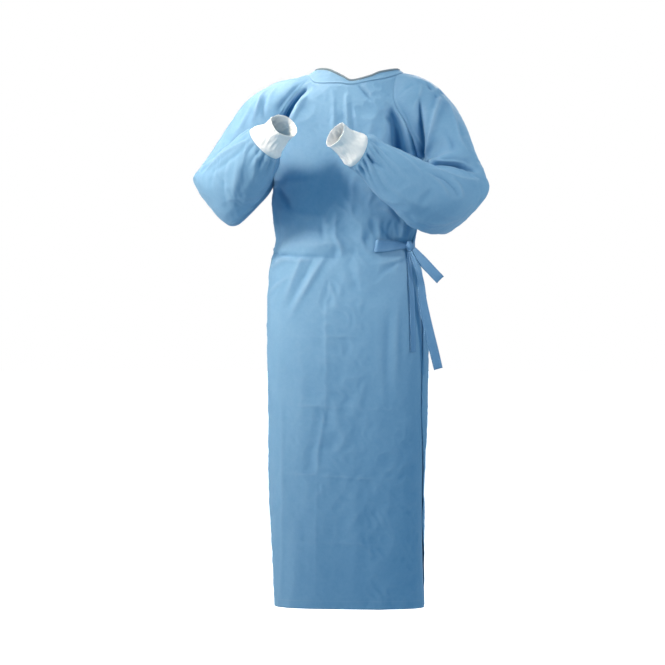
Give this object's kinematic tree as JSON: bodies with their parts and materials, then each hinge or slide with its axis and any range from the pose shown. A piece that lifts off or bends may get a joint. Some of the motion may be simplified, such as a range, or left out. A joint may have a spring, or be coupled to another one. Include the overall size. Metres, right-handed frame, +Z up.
{
  "type": "surgical gown",
  "caption": "Long surgical gown in its worn pose: open neck, bent raglan sleeves with knit cuffs, backs wrapped over each other, tied in a bow at the waist.",
  "frame": {"origin": "between the shoulders, level with the side points of the neck, where the wearer's shoulders hold the gown", "axes": "+Z up, the front of the gown faces -Y, the wearer's left is +X"},
  "size_m": [0.6776, 0.4237, 1.25],
  "materials": {
    "gown_cloth": "matte nonwoven",
    "knit": "matte rib knit",
    "binding": "matte",
    "tie_cloth": "matte nonwoven"
  },
  "bodies": {
    "root": {"front": "gown_cloth", "back_left": "gown_cloth", "back_right": "gown_cloth", "sleeve_right": "gown_cloth", "sleeve_left": "gown_cloth", "cuff_right": "knit", "cuff_left": "knit", "neck_binding": "binding", "tie_knot": "tie_cloth", "tie_loop_left": "tie_cloth", "tie_loop_right": "tie_cloth", "tie_tail_long": "tie_cloth", "tie_tail_middle": "tie_cloth", "belt_back": "tie_cloth"}
  },
  "joints": []
}
